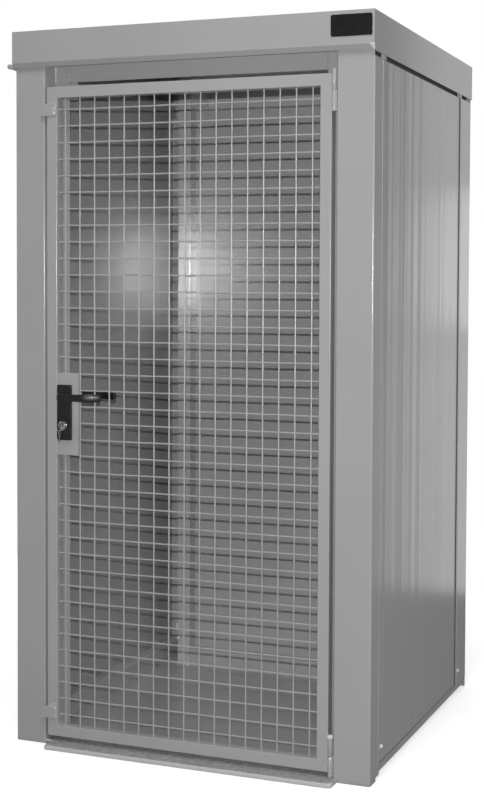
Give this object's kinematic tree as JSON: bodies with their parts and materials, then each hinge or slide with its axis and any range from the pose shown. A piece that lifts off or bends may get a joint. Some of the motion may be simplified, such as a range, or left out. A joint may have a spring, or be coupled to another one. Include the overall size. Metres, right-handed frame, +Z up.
{
  "type": "gas cylinder container",
  "caption": "Grey sheet-steel gas cylinder store with folded corner posts, a welded mesh door on lift-off hinges, lever lock, tread sill and a flat hemmed roof with side vent slots.",
  "frame": {"origin": "bottom centre of the whole container, on the ground", "axes": "+Z up, front with the mesh door faces -Y, +X to the right seen from the front"},
  "size_m": [1.18, 1.1343, 2.179],
  "materials": {
    "grey_paint": "smooth satin powder coat",
    "galvanised": "galvanised, weathered",
    "black_fittings": "satin black",
    "plate_black": "matt black, blank",
    "lock_chrome": "polished"
  },
  "bodies": {
    "container": {"floor_plate": "grey_paint", "front_left_post": "grey_paint", "front_right_post": "grey_paint", "rear_left_post": "grey_paint", "rear_right_post": "grey_paint", "left_wall": "grey_paint", "right_wall": "grey_paint", "rear_wall": "grey_paint", "base_rail_left": "grey_paint", "base_rail_right": "grey_paint", "base_rail_rear": "grey_paint", "front_header": "grey_paint", "roof": "grey_paint", "roof_gutter_lip": "grey_paint", "roof_spacer_front_left": "grey_paint", "roof_spacer_front_right": "grey_paint", "roof_spacer_rear_left": "grey_paint", "roof_spacer_rear_right": "grey_paint", "upper_hinge_post_half": "grey_paint", "lower_hinge_post_half": "grey_paint", "door_sill": "galvanised", "blank_plate": "plate_black"},
    "door": {"door_lock_stile": "grey_paint", "door_hinge_stile": "grey_paint", "door_top_rail": "grey_paint", "door_bottom_rail": "grey_paint", "door_mesh_upper": "grey_paint", "door_mesh_lower": "grey_paint", "lock_case": "grey_paint", "lock_plate": "grey_paint", "upper_stop_lug": "grey_paint", "lower_stop_lug": "grey_paint", "upper_hinge_leaf_half": "grey_paint", "lower_hinge_leaf_half": "grey_paint", "escutcheon_outer": "black_fittings", "escutcheon_inner": "black_fittings", "lock_cylinder": "lock_chrome"},
    "handle": {"lever_outer": "black_fittings", "lever_inner": "black_fittings", "lever_spindle": "lock_chrome"}
  },
  "joints": [
    {"name": "door_swing", "type": "hinge", "parent": "container", "child": "door", "pos_m": [0.46825, -0.50885, 1], "axis": [0, 0, 1], "range_deg": [0, 110]},
    {"name": "lever_turn", "type": "hinge", "parent": "door", "child": "handle", "pos_m": [-0.393, -0.51615, 1.075], "axis": [0, 1, 0], "range_deg": [0, 40], "stiffness_Nm_per_rad": 1.5, "springref_deg": -20.05}
  ]
}
